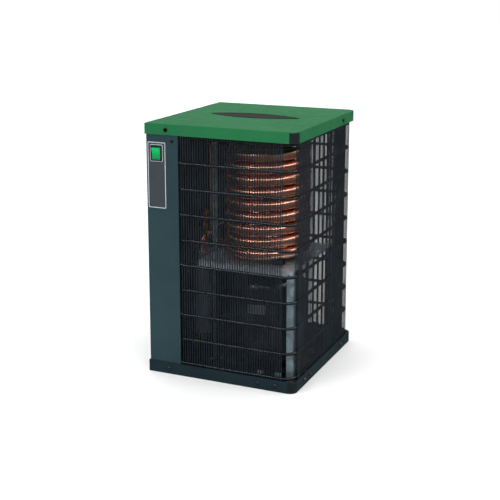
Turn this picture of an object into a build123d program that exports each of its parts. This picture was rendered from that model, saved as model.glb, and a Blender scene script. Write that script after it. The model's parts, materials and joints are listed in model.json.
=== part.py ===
from build123d import *
import os
from math import cos, pi, radians, sin, sqrt

# Refrigerated compressed-air dryer with a static wire-on-tube condenser for its casing.
# Millimetres. Origin at the centre of the base's underside, +X right, +Y back, +Z up.

# ---- driving dimensions ----
WIDTH = 316.0
DEPTH = 338.0
HEIGHT = 508.0
SHEET = 1.2                 # casing sheet steel
FRAME_SHEET = 1.5           # galvanised inner frame
LID_FLANGE = 21.5
BASE_FLANGE = 24.0
CORNER_R = 16.0             # rounded right-hand corners of lid and base
NOTCH = 15.0                # flange left out either side of a rounded corner
FIT = 0.05                  # clearance between pieces that fit each other

ROW_COUNT = 10              # condenser passes, one above the other
ROW_PITCH = 50.8
FIRST_ROW_Z = 25.5
TUBE_R = 3.175
TUBE_WALL = 0.7
BEND_R = 22.0               # condenser's corner bends, to the tube's centre
WIRE_R = 0.72
WIRE_PITCH = 5.2
WELD = 0.12                 # depth that each wire is welded into the tube
WIRE_Z0 = 19.0
WIRE_Z1 = 489.0

PANEL_X0 = -WIDTH / 2 + 2.0
PANEL_X1 = -WIDTH / 2 + 71.0
PANEL_FACE = DEPTH / 2 - 2.0
PANEL_TOP = HEIGHT - SHEET - 0.3

COND_X = WIDTH / 2 - 8.0    # centre planes of the condenser
COND_Y = DEPTH / 2 - 8.0
COND_END_X = -80.0          # where the passes turn back, behind the panels
WIRE_OFFSET = TUBE_R + WIRE_R - WELD

BADGE_L = 193.0
BADGE_W = 58.0
LABEL = (-153.5, -112.8, 340.2, 472.5)
SWITCH_X = -133.3
SWITCH_Z = 450.0
SWITCH_W = 24.5
SWITCH_H = 31.0
ROCKER_TILT = 9.0           # rocker's rest angle; it swings as far the other way

COIL_X = 50.0
COIL_Y = -45.0
COIL_R = 74.0
COIL_TUBE_R = 11.0
COIL_PITCH = 24.3
COIL_Z = 248.2
COIL_TURNS = 8.75
SHELF_Z = 236.0

COMP_X = 47.0
COMP_Y = -39.0
SHELL_R = 74.0
CRANK_THROW = 8.0

SEP_X = -80.0
SEP_Y = -79.0
BOWL_R = 18.0

PORT_X = (PANEL_X0 + PANEL_X1) / 2 - 4.0
INLET_Z = 408.0
OUTLET_Z = 460.0
DRAIN_Z = 70.0
GLAND_Z = 130.0
PIPE_R = 8.0                # air pipes
BOLT_X = 110.0              # base's mounting holes
BOLT_Y = 145.0


# ---- small helpers ----
def block(x0, x1, y0, y1, z0, z1):
    """A box between two corners."""
    size = Box(x1 - x0, y1 - y0, z1 - z0)
    return Pos((x0 + x1) / 2, (y0 + y1) / 2, (z0 + z1) / 2) * size


def rod(start, direction, r, length):
    """A cylinder from a point along a direction."""
    return Plane(origin=start, z_dir=direction) * Cylinder(
        r, length, align=(Align.CENTER, Align.CENTER, Align.MIN))


def ring(start, direction, r_out, r_in, length):
    """A straight sleeve from a point along a direction."""
    return rod(start, direction, r_out, length) - rod(start, direction, r_in, length)


def tube(path, r, wall=0.0):
    """A round tube, or a solid rod when the wall is nought, along a path."""
    section = Circle(r) - Circle(r - wall) if wall else Circle(r)
    return sweep(Plane(origin=path @ 0, z_dir=path % 0) * section, path=path)


def route(points, radii):
    """Straight runs joined by tangent arcs."""
    return FilletPolyline(*points, radius=radii)


def hexagon(start, direction, across_flats, length):
    """A hexagonal bar from a point along a direction."""
    face = Plane(origin=start, z_dir=direction) * RegularPolygon(across_flats / 2, 6, False)
    return extrude(face, length)


def group(pieces):
    """Separate solids kept in one node."""
    return Compound(children=[piece.solid() for piece in pieces])


def footprint(inset, height, corner=CORNER_R):
    """The plan of lid and base, drawn in by an inset, with rounded right-hand corners."""
    slab = block(-WIDTH / 2 + inset, WIDTH / 2 - inset, -DEPTH / 2 + inset, DEPTH / 2 - inset, 0, height)
    edges = [e for e in slab.edges().filter_by(Axis.Z) if e.center().X > 0]
    return fillet(edges, corner - inset)


def right_corner(y_side, reach, z0, z1):
    """The block that holds one right-hand corner."""
    y_in = y_side * (DEPTH / 2 - reach)
    y_out = y_side * (DEPTH / 2 + 1)
    return block(WIDTH / 2 - reach, WIDTH / 2 + 1, min(y_in, y_out), max(y_in, y_out), z0, z1)


def tray(flange, thickness):
    """A shallow open tray whose flange stops short of its right-hand corners."""
    body = footprint(0, flange)
    body = chamfer(body.faces().sort_by(Axis.Z)[0].edges(), 0.8)
    body -= Pos(0, 0, thickness) * footprint(thickness, flange)
    for y_side in (-1, 1):
        body -= right_corner(y_side, NOTCH, thickness, flange + 1)
    return body


def screw(start, inward, shank_r, length, head_r=4.0, head=2.4):
    """A pan-head screw: start is on the seat, inward is the way it is driven."""
    back = tuple(-c for c in inward)
    cap = rod(start, back, head_r, head)
    rim = cap.faces().sort_by(lambda f: sum(a * b for a, b in zip(f.center(), back)))[-1].edges()
    cap = fillet(rim, head * 0.6)
    slot_plane = Plane(origin=tuple(s + b * (head - 0.9) for s, b in zip(start, back)), z_dir=back)
    slot = extrude(slot_plane * Rectangle(head_r * 1.3, 0.9), 2) + extrude(
        slot_plane * Rectangle(0.9, head_r * 1.3), 2)
    return cap - slot + rod(start, inward, shank_r, length)


# ---- places of the fasteners ----
FACE = DEPTH / 2
SIDE = WIDTH / 2
LID_SCREW_Z = HEIGHT - 11.5
BASE_SCREW_Z = 12.0
LID_SCREWS = [((-112, -FACE, LID_SCREW_Z), (0, 1, 0)), ((SIDE, 89, LID_SCREW_Z), (-1, 0, 0)),
              ((-112, FACE, LID_SCREW_Z), (0, -1, 0)), ((-SIDE, 89, LID_SCREW_Z), (1, 0, 0))]
FRONT_BASE_X = (-112.5, 81.0, 118.0)
RIGHT_BASE_Y = (-115.0, -86.0, 100.0)
BASE_SCREWS = ([((x, -FACE, BASE_SCREW_Z), (0, 1, 0)) for x in FRONT_BASE_X]
               + [((SIDE, y, BASE_SCREW_Z), (-1, 0, 0)) for y in RIGHT_BASE_Y]
               + [((x, FACE, BASE_SCREW_Z), (0, -1, 0)) for x in FRONT_BASE_X]
               + [((-SIDE, y, BASE_SCREW_Z), (1, 0, 0)) for y in (-100.0, 100.0)])
CASING_SCREW_R = 1.9
SCREW_HOLE_R = 2.1
GROMMET_XY = [(COMP_X + dx, COMP_Y + dy) for dx in (-78, 78) for dy in (-50, 50)]


def screw_holes(body, places, reach=3.0):
    """Clearance holes through one sheet for a list of screws."""
    for start, inward in places:
        outside = tuple(s - 0.5 * d for s, d in zip(start, inward))
        body -= rod(outside, inward, SCREW_HOLE_R, reach)
    return body


# ---- casing ----
def base_pan():
    pan = screw_holes(tray(BASE_FLANGE, FRAME_SHEET), BASE_SCREWS, 2.5)
    for x in (-BOLT_X, BOLT_X):
        for y in (-BOLT_Y, BOLT_Y):
            pan -= rod((x, y, -1), (0, 0, 1), 4.5, 4)
    for x, y in GROMMET_XY:
        pan -= rod((x, y, -1), (0, 0, 1), 3.1, 4)
    for x, y in frame_feet():
        pan -= rod((x, y, -1), (0, 0, 1), SCREW_HOLE_R, 4)
    return pan


def lid():
    cover = Pos(0, 0, HEIGHT) * Rot(180, 0, 0) * tray(LID_FLANGE, SHEET)
    return screw_holes(cover, LID_SCREWS, 2.2)


GUARD_H = LID_FLANGE - SHEET - 0.3


def corner_guards():
    """Moulded corner pieces, the same one at all four right-hand corners."""
    wall = 2.6
    tongue = 12.0
    backing = FRAME_SHEET + FIT
    skin = footprint(0, GUARD_H) - footprint(wall, GUARD_H)
    lining = footprint(backing, GUARD_H) - footprint(wall + backing, GUARD_H)
    pieces = []
    for y_side in (-1, 1):
        corner = skin & right_corner(y_side, NOTCH - 0.2, 0, GUARD_H)
        corner += lining & right_corner(y_side, NOTCH + tongue, 0, GUARD_H)
        for z in (FRAME_SHEET + 0.1, HEIGHT - SHEET - 0.1 - GUARD_H):
            pieces.append(Pos(0, 0, z) * corner)
    return group(pieces)


def lid_badge():
    """A thin lens-shaped plate on the lid, with no marking."""
    arc_r = (BADGE_L ** 2 / 4 + BADGE_W ** 2 / 4) / BADGE_W
    shift = arc_r - BADGE_W / 2
    outline = (Pos(0, shift) * Circle(arc_r)) & (Pos(0, -shift) * Circle(arc_r))
    return Pos(0, 0, HEIGHT) * extrude(outline, 1.0)


def upright_panel():
    """The sheet shared by front and rear: a face with a return along its left edge."""
    face = block(PANEL_X0, PANEL_X1, -PANEL_FACE, -PANEL_FACE + SHEET, FRAME_SHEET, PANEL_TOP)
    side = block(PANEL_X0, PANEL_X0 + SHEET, -PANEL_FACE, -PANEL_FACE + 18, FRAME_SHEET, PANEL_TOP)
    panel = face + side
    outer = [e for e in panel.edges().filter_by(Axis.Z)
             if abs(e.center().X - PANEL_X0) < 0.01 and abs(e.center().Y + PANEL_FACE) < 0.01]
    return fillet(outer, 1.0)


SIDE_SCREWS = [(y, z) for y in (-156.0, 156.0) for z in (60.0, 250.0, 440.0)]
PANEL_SCREW = (-99.3, 474.9)


def through_holes(panel, y):
    """Holes that front and rear panel both need for the casing's screws."""
    for z in (LID_SCREW_Z, BASE_SCREW_Z):
        panel -= rod((-112 if z > 100 else -112.5, y - 3, z), (0, 1, 0), SCREW_HOLE_R, 6)
    panel -= rod((PANEL_SCREW[0], y - 3, PANEL_SCREW[1]), (0, 1, 0), SCREW_HOLE_R, 6)
    for side_y, z in SIDE_SCREWS:
        if side_y * y > 0:
            panel -= rod((PANEL_X0 - 2, side_y, z), (1, 0, 0), SCREW_HOLE_R, 5)
    return panel


def control_panel():
    panel = through_holes(upright_panel(), -PANEL_FACE)
    return panel - block(SWITCH_X - 11.1, SWITCH_X + 11.1, -PANEL_FACE - 1, -PANEL_FACE + 3,
                         SWITCH_Z - 15.0 + 0.9, SWITCH_Z + 15.0 - 0.9)


def rear_panel():
    panel = mirror(upright_panel(), about=Plane.XZ)
    panel = through_holes(panel, PANEL_FACE)
    for z, r in ((INLET_Z, 11.1), (OUTLET_Z, 11.1), (DRAIN_Z, 6.1), (GLAND_Z, 7.6)):
        panel -= rod((PORT_X, PANEL_FACE - 5, z), (0, 1, 0), r, 10)
    return panel


def side_panel():
    """Left side, set inside the returns of the front and rear panels."""
    x0 = PANEL_X0 + SHEET + FIT
    panel = block(x0, x0 + SHEET, -PANEL_FACE + 4, PANEL_FACE - 4, FRAME_SHEET, PANEL_TOP)
    for y, z in SIDE_SCREWS:
        panel -= rod((x0 - 1, y, z), (1, 0, 0), SCREW_HOLE_R, 4)
    for y, z in ((89.0, LID_SCREW_Z), (-100.0, BASE_SCREW_Z), (100.0, BASE_SCREW_Z)):
        panel -= rod((x0 - 1, y, z), (1, 0, 0), SCREW_HOLE_R, 4)
    return panel


def label_plate():
    x0, x1, z0, z1 = LABEL
    plate = block(x0, x1, -PANEL_FACE - 0.5, -PANEL_FACE, z0, z1)
    edges = plate.edges().filter_by(Axis.Y)
    plate = fillet(edges, 1.0)
    return plate - block(SWITCH_X - 11.1, SWITCH_X + 11.1, -PANEL_FACE - 1, -PANEL_FACE + 1,
                         SWITCH_Z - 14.1, SWITCH_Z + 14.1)


def power_switch_body():
    """Bezel in front of the plate, body behind it, open at the front for the rocker."""
    seat = -PANEL_FACE - 0.5
    bezel = block(SWITCH_X - SWITCH_W / 2, SWITCH_X + SWITCH_W / 2, seat - 2.2, seat,
                  SWITCH_Z - SWITCH_H / 2, SWITCH_Z + SWITCH_H / 2)
    bezel = fillet(bezel.edges().filter_by(Axis.Y), 1.2)
    bezel = chamfer(bezel.faces().sort_by(Axis.Y)[0].edges(), 0.8)
    body = block(SWITCH_X - 11, SWITCH_X + 11, seat, seat + 24, SWITCH_Z - 14, SWITCH_Z + 14)
    well = block(SWITCH_X - 9.3, SWITCH_X + 9.3, seat - 3, seat + 12, SWITCH_Z - 12.9, SWITCH_Z + 12.9)
    switch = bezel + body - well
    for x in (-6, 6):
        for z in (-8, 0, 8):
            switch += block(SWITCH_X + x - 0.4, SWITCH_X + x + 0.4, seat + 24, seat + 32,
                            SWITCH_Z + z - 3, SWITCH_Z + z + 3)
    for x in (-10.5, 7.0):
        switch += rod((SWITCH_X + x, seat + 4.6, SWITCH_Z), (1, 0, 0), 1.5, 3.5)
    return switch


def power_rocker():
    """A rocker with a broken-back face, tipped about the pivot that runs along X."""
    pivot_y = -PANEL_FACE - 0.5 + 4.6
    half = 11.6
    with BuildPart() as rocker:
        with BuildSketch(Plane(origin=(SWITCH_X - 9.0, 0, 0), x_dir=(0, 1, 0), z_dir=(1, 0, 0))):
            with BuildLine():
                Polyline((-8.2, half), (-6.2, 0), (-8.2, -half), (-2.0, -half), (3.0, -5.0), (3.0, 5.0),
                         (-2.0, half), close=True)
            make_face()
        extrude(amount=18.0)
    body = fillet(rocker.part.faces().filter_by(Axis.X).edges().filter_by(Axis.Z, reverse=True), 0.6)
    body -= rod((SWITCH_X - 10, 0, 0), (1, 0, 0), 1.56, 20)
    return Pos(0, pivot_y, SWITCH_Z) * Rot(ROCKER_TILT, 0, 0) * body


def power_gland():
    """Bushing for the mains lead, left open."""
    y = PANEL_FACE
    gland = ring((PORT_X, y, GLAND_Z), (0, 1, 0), 11.0, 4.2, 6)
    gland = fillet(gland.faces().sort_by(Axis.Y)[-1].edges().sort_by(Edge.length)[-1], 2.5)
    gland += ring((PORT_X, y - SHEET, GLAND_Z), (0, 1, 0), 7.5, 4.2, SHEET)
    return gland + ring((PORT_X, y - SHEET - 8, GLAND_Z), (0, 1, 0), 9.5, 4.2, 8)


def lid_screws():
    return group([screw(start, inward, CASING_SCREW_R, 6.5 if abs(start[0]) < 120 else 4.5)
                  for start, inward in LID_SCREWS])


def base_screws():
    return group([screw(start, inward, CASING_SCREW_R, 6.0 if start[0] < -100 else 3.2)
                  for start, inward in BASE_SCREWS])


def panel_screws():
    x, z = PANEL_SCREW
    pieces = [screw((x, way * PANEL_FACE, z), (0, -way, 0), CASING_SCREW_R, 2.0, 2.8, 1.6) for way in (-1, 1)]
    pieces += [screw((PANEL_X0, y, z), (1, 0, 0), CASING_SCREW_R, 5.0, 3.0, 1.6) for y, z in SIDE_SCREWS]
    return group(pieces)


# ---- condenser ----
def corner_arc(y_side, z):
    """Quarter bend at one right-hand corner, front to side or side to rear."""
    cx = COND_X - BEND_R
    cy = y_side * (COND_Y - BEND_R)
    mid = (cx + BEND_R * cos(pi / 4), cy + y_side * BEND_R * sin(pi / 4), z)
    return ThreePointArc((cx, y_side * COND_Y, z), mid, (COND_X, cy, z))


def condenser_runs():
    """The serpentine's straight runs and bends, each as the edges of one piece of tube."""
    runs = []
    inner_y = COND_Y - BEND_R
    top = FIRST_ROW_Z + (ROW_COUNT - 1) * ROW_PITCH
    inlet_r = 16.0
    for z in (top, FIRST_ROW_Z):
        turn = (COND_END_X - inlet_r * sin(pi / 4), COND_Y - inlet_r + inlet_r * cos(pi / 4), z)
        end = (COND_END_X - inlet_r, COND_Y - inlet_r, z)
        runs.append([Line((end[0], end[1] - 6, z), end), ThreePointArc(end, turn, (COND_END_X, COND_Y, z))])
    for row in range(ROW_COUNT):
        z = FIRST_ROW_Z + row * ROW_PITCH
        for y_side in (-1, 1):
            y = y_side * COND_Y
            runs.append([Line((COND_END_X, y, z), (COND_X - BEND_R, y, z))])
            runs.append([corner_arc(y_side, z)])
        runs.append([Line((COND_X, -inner_y, z), (COND_X, inner_y, z))])
        if row < ROW_COUNT - 1:
            y = -COND_Y if row % 2 == 0 else COND_Y
            middle = (COND_END_X - ROW_PITCH / 2, y, z + ROW_PITCH / 2)
            runs.append([ThreePointArc((COND_END_X, y, z), middle, (COND_END_X, y, z + ROW_PITCH))])
    return runs


def condenser_tube():
    """Ten passes round the cabinet, brazed end to end from straight runs and bends."""
    return group([tube(Wire([edge.edge() for edge in run]), TUBE_R, TUBE_WALL) for run in condenser_runs()])


def wire_places():
    """Plan positions of the condenser's wires, inside and outside each straight run."""
    places = []
    front_count = int((COND_X - BEND_R - COND_END_X + 2) / WIRE_PITCH) + 1
    side_count = int(2 * (COND_Y - BEND_R + 2) / WIRE_PITCH) + 1
    for offset in (-WIRE_OFFSET, WIRE_OFFSET):
        for i in range(front_count):
            x = COND_END_X - 2 + i * WIRE_PITCH
            places.append((x, -COND_Y + offset))
            places.append((x, COND_Y + offset))
        for i in range(side_count):
            places.append((COND_X + offset, (i - (side_count - 1) / 2) * WIRE_PITCH))
    return places


def condenser_wires():
    return group([rod((x, y, WIRE_Z0), (0, 0, 1), WIRE_R, WIRE_Z1 - WIRE_Z0) for x, y in wire_places()])


def clip(z_flip):
    """J-shaped clip in the front plane: outer leg on the flange, inner leg behind the wires."""
    outer = COND_Y + WIRE_OFFSET + WIRE_R + 0.25
    inner = COND_Y - WIRE_OFFSET - WIRE_R - 0.25
    z0 = 4.0 if z_flip > 0 else HEIGHT - 6.0
    z_in = 34.0 if z_flip > 0 else HEIGHT - 36.0
    foot_z = 16.0 if z_flip > 0 else HEIGHT - 16.0
    legs = block(-6, 6, -outer - 1.0, -outer, min(z0, foot_z), max(z0, foot_z))
    legs += block(-6, 6, -outer - 1.0, -inner + 1.0, foot_z - 0.5, foot_z + 0.5)
    legs += block(-6, 6, -inner, -inner + 1.0, min(z_in, foot_z), max(z_in, foot_z))
    hole_z = BASE_SCREW_Z if z_flip > 0 else LID_SCREW_Z
    return legs - rod((0, -outer - 3, hole_z), (0, 1, 0), SCREW_HOLE_R, 4)


def condenser_clips():
    """Clips that tie the condenser to the base flange and, on the right, to the lid."""
    low = clip(1)
    high = clip(-1)
    pieces = []
    for x in FRONT_BASE_X[1:]:
        pieces.append(Pos(x, 0, 0) * low)
        pieces.append(Pos(x, 0, 0) * Rot(0, 0, 180) * low)
    turn = Pos(COND_X - COND_Y, 0, 0) * Rot(0, 0, 90)
    for y in RIGHT_BASE_Y:
        pieces.append(Pos(0, y, 0) * turn * low)
    pieces.append(Pos(0, 89, 0) * turn * high)
    return group(pieces)


# ---- inner frame ----
SHELF_X0 = -60.0
SHELF_X1 = 142.0
SHELF_Y0 = -139.0
SHELF_Y1 = 82.0
SHELF_LIP = 16.0


def shelf():
    """Galvanised tray turned upside down, with lips front, back and left."""
    t = FRAME_SHEET
    plate = block(SHELF_X0, SHELF_X1, SHELF_Y0, SHELF_Y1, SHELF_Z - t, SHELF_Z)
    plate += block(SHELF_X0, SHELF_X1, SHELF_Y0, SHELF_Y0 + t, SHELF_Z - SHELF_LIP, SHELF_Z)
    plate += block(SHELF_X0, SHELF_X1, SHELF_Y1 - t, SHELF_Y1, SHELF_Z - SHELF_LIP, SHELF_Z)
    plate += block(SHELF_X0, SHELF_X0 + t, SHELF_Y0, SHELF_Y1, SHELF_Z - SHELF_LIP, SHELF_Z)
    plate -= block(-26, -2, 60, SHELF_Y1 + 1, SHELF_Z - 30, SHELF_Z + 1)
    plate -= rod((75, 74, SHELF_Z - 5), (0, 0, 1), 5.0, 10)
    plate -= rod((COIL_X, COIL_Y, SHELF_Z - 5), (0, 0, 1), 40.0, 10)
    for x in (-34, 134):
        for y in (SHELF_Y0, SHELF_Y1):
            plate -= rod((x, y - 3, SHELF_Z - 9), (0, 1, 0), SCREW_HOLE_R, 6)
    return plate - rod((SHELF_X0 - 2, -63, SHELF_Z - 9), (1, 0, 0), SCREW_HOLE_R, 6)


LEG_W = 14.0
LEFT_LEG_X = -41.0


def leg(outer_x, x_way, outer_y, y_way):
    """An angle leg just inside the shelf's lip, with a foot turned in on the base."""
    t = FRAME_SHEET
    x_in = outer_x - x_way * LEG_W
    x_t = outer_x - x_way * t
    y_in = outer_y + y_way * LEG_W
    y_t = outer_y + y_way * t
    top = SHELF_Z - t - 0.1
    wide_x, thin_x = sorted((outer_x, x_in)), sorted((outer_x, x_t))
    wide_y, thin_y = sorted((outer_y, y_in)), sorted((outer_y, y_t))
    leg_body = block(*wide_x, *thin_y, t, top)
    leg_body += block(*thin_x, *wide_y, t, top)
    leg_body += block(*wide_x, *wide_y, t, 2 * t)
    leg_body -= rod(((outer_x + x_in) / 2, (outer_y + y_in) / 2, 0), (0, 0, 1), SCREW_HOLE_R, 5)
    return leg_body


def shelf_legs():
    lip = FRAME_SHEET + FIT
    pieces = []
    for x, x_way in ((SHELF_X1, 1), (LEFT_LEG_X, -1)):
        for y, y_way in ((SHELF_Y0 + lip, 1), (SHELF_Y1 - lip, -1)):
            if x_way == 1 or y_way == -1:
                legs = leg(x, x_way, y, y_way)
                hole_x = 134 if x_way == 1 else -34
                legs -= rod((hole_x, y - 3, SHELF_Z - 9), (0, 1, 0), SCREW_HOLE_R, 6)
                pieces.append(legs)
    return group(pieces)


POST_X = SHELF_X0 - FIT
POST_Y = -68.0


def upright_post():
    """Angle post from base to lid, bolted to the shelf's left lip."""
    t = FRAME_SHEET
    post = block(POST_X - t, POST_X, POST_Y, POST_Y + 10, t, PANEL_TOP)
    post += block(POST_X - t, POST_X + 10, POST_Y, POST_Y + t, SHELF_Z + 0.5, PANEL_TOP)
    post += block(POST_X - 12, POST_X, POST_Y, POST_Y + 10, t, 2 * t)
    post += block(POST_X - 12, POST_X, POST_Y, POST_Y + 10, PANEL_TOP - t, PANEL_TOP)
    post -= rod((POST_X - 7, POST_Y + 5, 0), (0, 0, 1), SCREW_HOLE_R, 5)
    return post - rod((POST_X - 4, -63, SHELF_Z - 9), (1, 0, 0), SCREW_HOLE_R, 6)


def frame_feet():
    """Where the legs and the post are screwed to the base."""
    mid = LEG_W / 2
    front_y = SHELF_Y0 + FRAME_SHEET + FIT + mid
    rear_y = SHELF_Y1 - FRAME_SHEET - FIT - mid
    right_x = SHELF_X1 - mid
    return [(right_x, front_y), (right_x, rear_y), (LEFT_LEG_X + mid, rear_y), (POST_X - 7, POST_Y + 5)]


def frame_screws():
    """Screws that hold legs and post to shelf and base."""
    t = FRAME_SHEET
    pieces = [screw((x, y, 2 * t), (0, 0, -1), CASING_SCREW_R, 2.9, 3.2, 2.0) for x, y in frame_feet()]
    pieces.append(screw((134, SHELF_Y0, SHELF_Z - 9), (0, 1, 0), CASING_SCREW_R, 6, 3.2, 2.0))
    for x in (-34, 134):
        pieces.append(screw((x, SHELF_Y1, SHELF_Z - 9), (0, -1, 0), CASING_SCREW_R, 6, 3.2, 2.0))
    pieces.append(screw((POST_X - t, -63, SHELF_Z - 9), (1, 0, 0), CASING_SCREW_R, 6, 3.2, 2.0))
    return group(pieces)


# ---- heat exchanger ----
def coil_point(turn, r=COIL_R):
    """A point of the coil's centre line, counted in turns from its lower end."""
    angle = pi + 2 * pi * turn
    return (COIL_X + r * cos(angle), COIL_Y + r * sin(angle), COIL_Z + COIL_PITCH * turn)


def coil_path(lead=0.0):
    """The coil as short tangent arcs, twelve to a turn, with a straight lead at both ends."""
    steps = 12
    count = round(COIL_TURNS * steps)
    bulge = 1 / cos(pi / steps)
    corners = [coil_point((i + 0.5) / steps, COIL_R * bulge) for i in range(count)]
    low = Vector(*coil_point(0)) + Vector(0, lead, 0)
    high = Vector(*coil_point(COIL_TURNS)) - Vector(lead, 0, 0)
    return route([tuple(low)] + corners + [tuple(high)], COIL_R * 0.97)


def exchanger_coil():
    return tube(coil_path(), COIL_TUBE_R, 1.2)


EVAPORATOR_R = 6.35
LEAD = 48.0


def evaporator_tube():
    """The refrigerant's tube inside the coil, run straight on through both tees."""
    return tube(coil_path(LEAD), EVAPORATOR_R, 0.8)


BOTTOM_END = coil_point(0)
TOP_END = coil_point(COIL_TURNS)
TEE_LENGTH = 36.0


def tee(start, direction, branch):
    """A brazed tee: socket for the coil, side branch for air, plug round the inner tube."""
    along = Vector(*direction)
    middle = tuple(Vector(*start) + along * (TEE_LENGTH / 2))
    body = rod(start, direction, 12.0, TEE_LENGTH)
    body += rod(middle, branch, 10.5, 20)
    body -= rod(start, direction, 11.1, TEE_LENGTH - 4)
    body -= rod(middle, branch, PIPE_R + FIT, 21)
    return body - rod(start, direction, 6.8, TEE_LENGTH + 1)


def exchanger_tees():
    low = (BOTTOM_END[0], BOTTOM_END[1] + 1.0, BOTTOM_END[2])
    high = (TOP_END[0] - 1.0, TOP_END[1], TOP_END[2])
    return group([tee(low, (0, 1, 0), (-1, 0, 0)), tee(high, (-1, 0, 0), (0, 1, 0))])


def coil_supports():
    """Rubber blocks that the coil sits on."""
    pieces = []
    for angle in (-60, 60, 180):
        x = COIL_X + COIL_R * cos(radians(angle + 10))
        y = COIL_Y + COIL_R * sin(radians(angle + 10))
        turn = ((angle + 10 - 180) % 360) / 360
        top = COIL_Z + COIL_PITCH * turn - COIL_TUBE_R - 0.9
        if top - SHELF_Z > 3:
            pieces.append(block(x - 9, x + 9, y - 9, y + 9, SHELF_Z, top))
    return group(pieces)


# ---- air circuit ----
def air_inlet_pipe():
    start = (TOP_END[0] - 1 - TEE_LENGTH / 2, TOP_END[1] + 10, TOP_END[2])
    points = [start, (start[0], 100, TOP_END[2]), (start[0], 100, INLET_Z), (PORT_X, 100, INLET_Z),
              (PORT_X, 143, INLET_Z)]
    return tube(route(points, 18.0), PIPE_R, 1.0)


def air_transfer_pipe():
    """From the coil's lower tee down to the side of the separator's head."""
    start = (BOTTOM_END[0] - 10, BOTTOM_END[1] + 1 + TEE_LENGTH / 2, BOTTOM_END[2])
    points = [start, (SEP_X, start[1], start[2]), (SEP_X, start[1], 226.0), (SEP_X, SEP_Y + 19, 226.0)]
    return tube(route(points, [10.0, 10.0]), PIPE_R, 1.0)


def air_outlet_pipe():
    """Riser from the separator's top to the outlet fitting."""
    x = -78.0
    y = -42.0
    points = [(SEP_X, SEP_Y, 238), (SEP_X, SEP_Y, 270), (x, y, 270), (x, y, OUTLET_Z),
              (PORT_X, y, OUTLET_Z), (PORT_X, 143, OUTLET_Z)]
    return tube(route(points, [16.0, 16.0, 16.0, 16.0]), 6.35, 0.9)


def bulkhead_fitting(z, pipe_r):
    """Half-inch pipe fitting: hexagon outside the panel, threaded stem through it."""
    y = PANEL_FACE
    bore_r = 9.15
    body = hexagon((PORT_X, y, z), (0, 1, 0), 30, 22)
    body = chamfer(body.faces().sort_by(Axis.Y)[-1].edges(), 1.0)
    body += rod((PORT_X, y - 24, z), (0, 1, 0), 11.0, 24)
    body -= rod((PORT_X, y + 2, z), (0, 1, 0), bore_r, 21)
    return body - rod((PORT_X, y - 25, z), (0, 1, 0), pipe_r + FIT, 30)


def air_inlet_fitting():
    return bulkhead_fitting(INLET_Z, PIPE_R)


def air_outlet_fitting():
    return bulkhead_fitting(OUTLET_Z, 6.35)


def fitting_locknuts():
    pieces = []
    for z in (INLET_Z, OUTLET_Z):
        start = (PORT_X, PANEL_FACE - SHEET - 6, z)
        pieces.append(hexagon(start, (0, 1, 0), 30, 6) - rod((PORT_X, 100, z), (0, 1, 0), 11.0 + FIT, 80))
    return group(pieces)


# ---- moisture separator ----
HEAD_Z0 = 204.0
HEAD_Z1 = 243.0
BOWL_Z0 = 62.0


def separator_head():
    head = rod((SEP_X, SEP_Y, HEAD_Z0), (0, 0, 1), 20.0, HEAD_Z1 - HEAD_Z0)
    head = fillet(head.faces().sort_by(Axis.Z)[-1].edges(), 3.0)
    head += rod((SEP_X, SEP_Y + 12, 226), (0, 1, 0), 10.5, 12)
    head -= rod((SEP_X, SEP_Y, HEAD_Z0 - 1), (0, 0, 1), BOWL_R + FIT, 11)
    head -= rod((SEP_X, SEP_Y, HEAD_Z0 + 5), (0, 0, 1), 12.0, 25)
    head -= rod((SEP_X, SEP_Y, HEAD_Z0), (0, 0, 1), 6.35 + FIT, 45)
    return head - rod((SEP_X, SEP_Y, 226), (0, 1, 0), PIPE_R + FIT, 30)


def separator_bowl():
    height = HEAD_Z0 + 10 - BOWL_Z0
    bowl = rod((SEP_X, SEP_Y, BOWL_Z0), (0, 0, 1), BOWL_R, height)
    bowl = fillet(bowl.faces().sort_by(Axis.Z)[0].edges(), 8.0)
    inside = rod((SEP_X, SEP_Y, BOWL_Z0 + 2.5), (0, 0, 1), BOWL_R - 2.5, height)
    inside = fillet(inside.faces().sort_by(Axis.Z)[0].edges(), 5.5)
    return bowl - inside - rod((SEP_X, SEP_Y, BOWL_Z0 - 1), (0, 0, 1), 5.0 + FIT, 10)


def drain_float():
    """Hollow float with its needle, resting on the drain seat."""
    z = BOWL_Z0 + 12
    body = rod((SEP_X, SEP_Y, z), (0, 0, 1), 12.5, 26)
    body = fillet(body.edges().filter_by(GeomType.CIRCLE), 3.0)
    body -= rod((SEP_X, SEP_Y, z + 2), (0, 0, 1), 10.5, 22)
    return body + rod((SEP_X, SEP_Y, z - 4), (0, 0, 1), 1.5, 5)


def drain_valve_body():
    """Automatic drain under the bowl: seat inside it, outlet elbow to the rear, knob below."""
    body = rod((SEP_X, SEP_Y, BOWL_Z0 - 22), (0, 0, 1), 9.0, 21.9)
    body += rod((SEP_X, SEP_Y, BOWL_Z0 - 1), (0, 0, 1), 5.0, 8.0)
    body -= rod((SEP_X, SEP_Y, BOWL_Z0 - 12), (0, 0, 1), 2.0, 20)
    body += rod((SEP_X, SEP_Y, BOWL_Z0 - 11), (0, 1, 0), 5.0, 16)
    return body - rod((SEP_X, SEP_Y, BOWL_Z0 - 11), (0, 1, 0), 3.2 + FIT, 17)


def drain_knob():
    """Knurled knob of the manual drain."""
    top = BOWL_Z0 - 22.3
    knob = rod((SEP_X, SEP_Y, top - 10), (0, 0, 1), 8.5, 10)
    for i in range(12):
        angle = 2 * pi * i / 12
        knob -= rod((SEP_X + 9 * cos(angle), SEP_Y + 9 * sin(angle), top - 11), (0, 0, 1), 1.2, 12)
    return chamfer(knob.faces().sort_by(Axis.Z)[0].edges().filter_by(GeomType.CIRCLE), 0.6)


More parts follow.
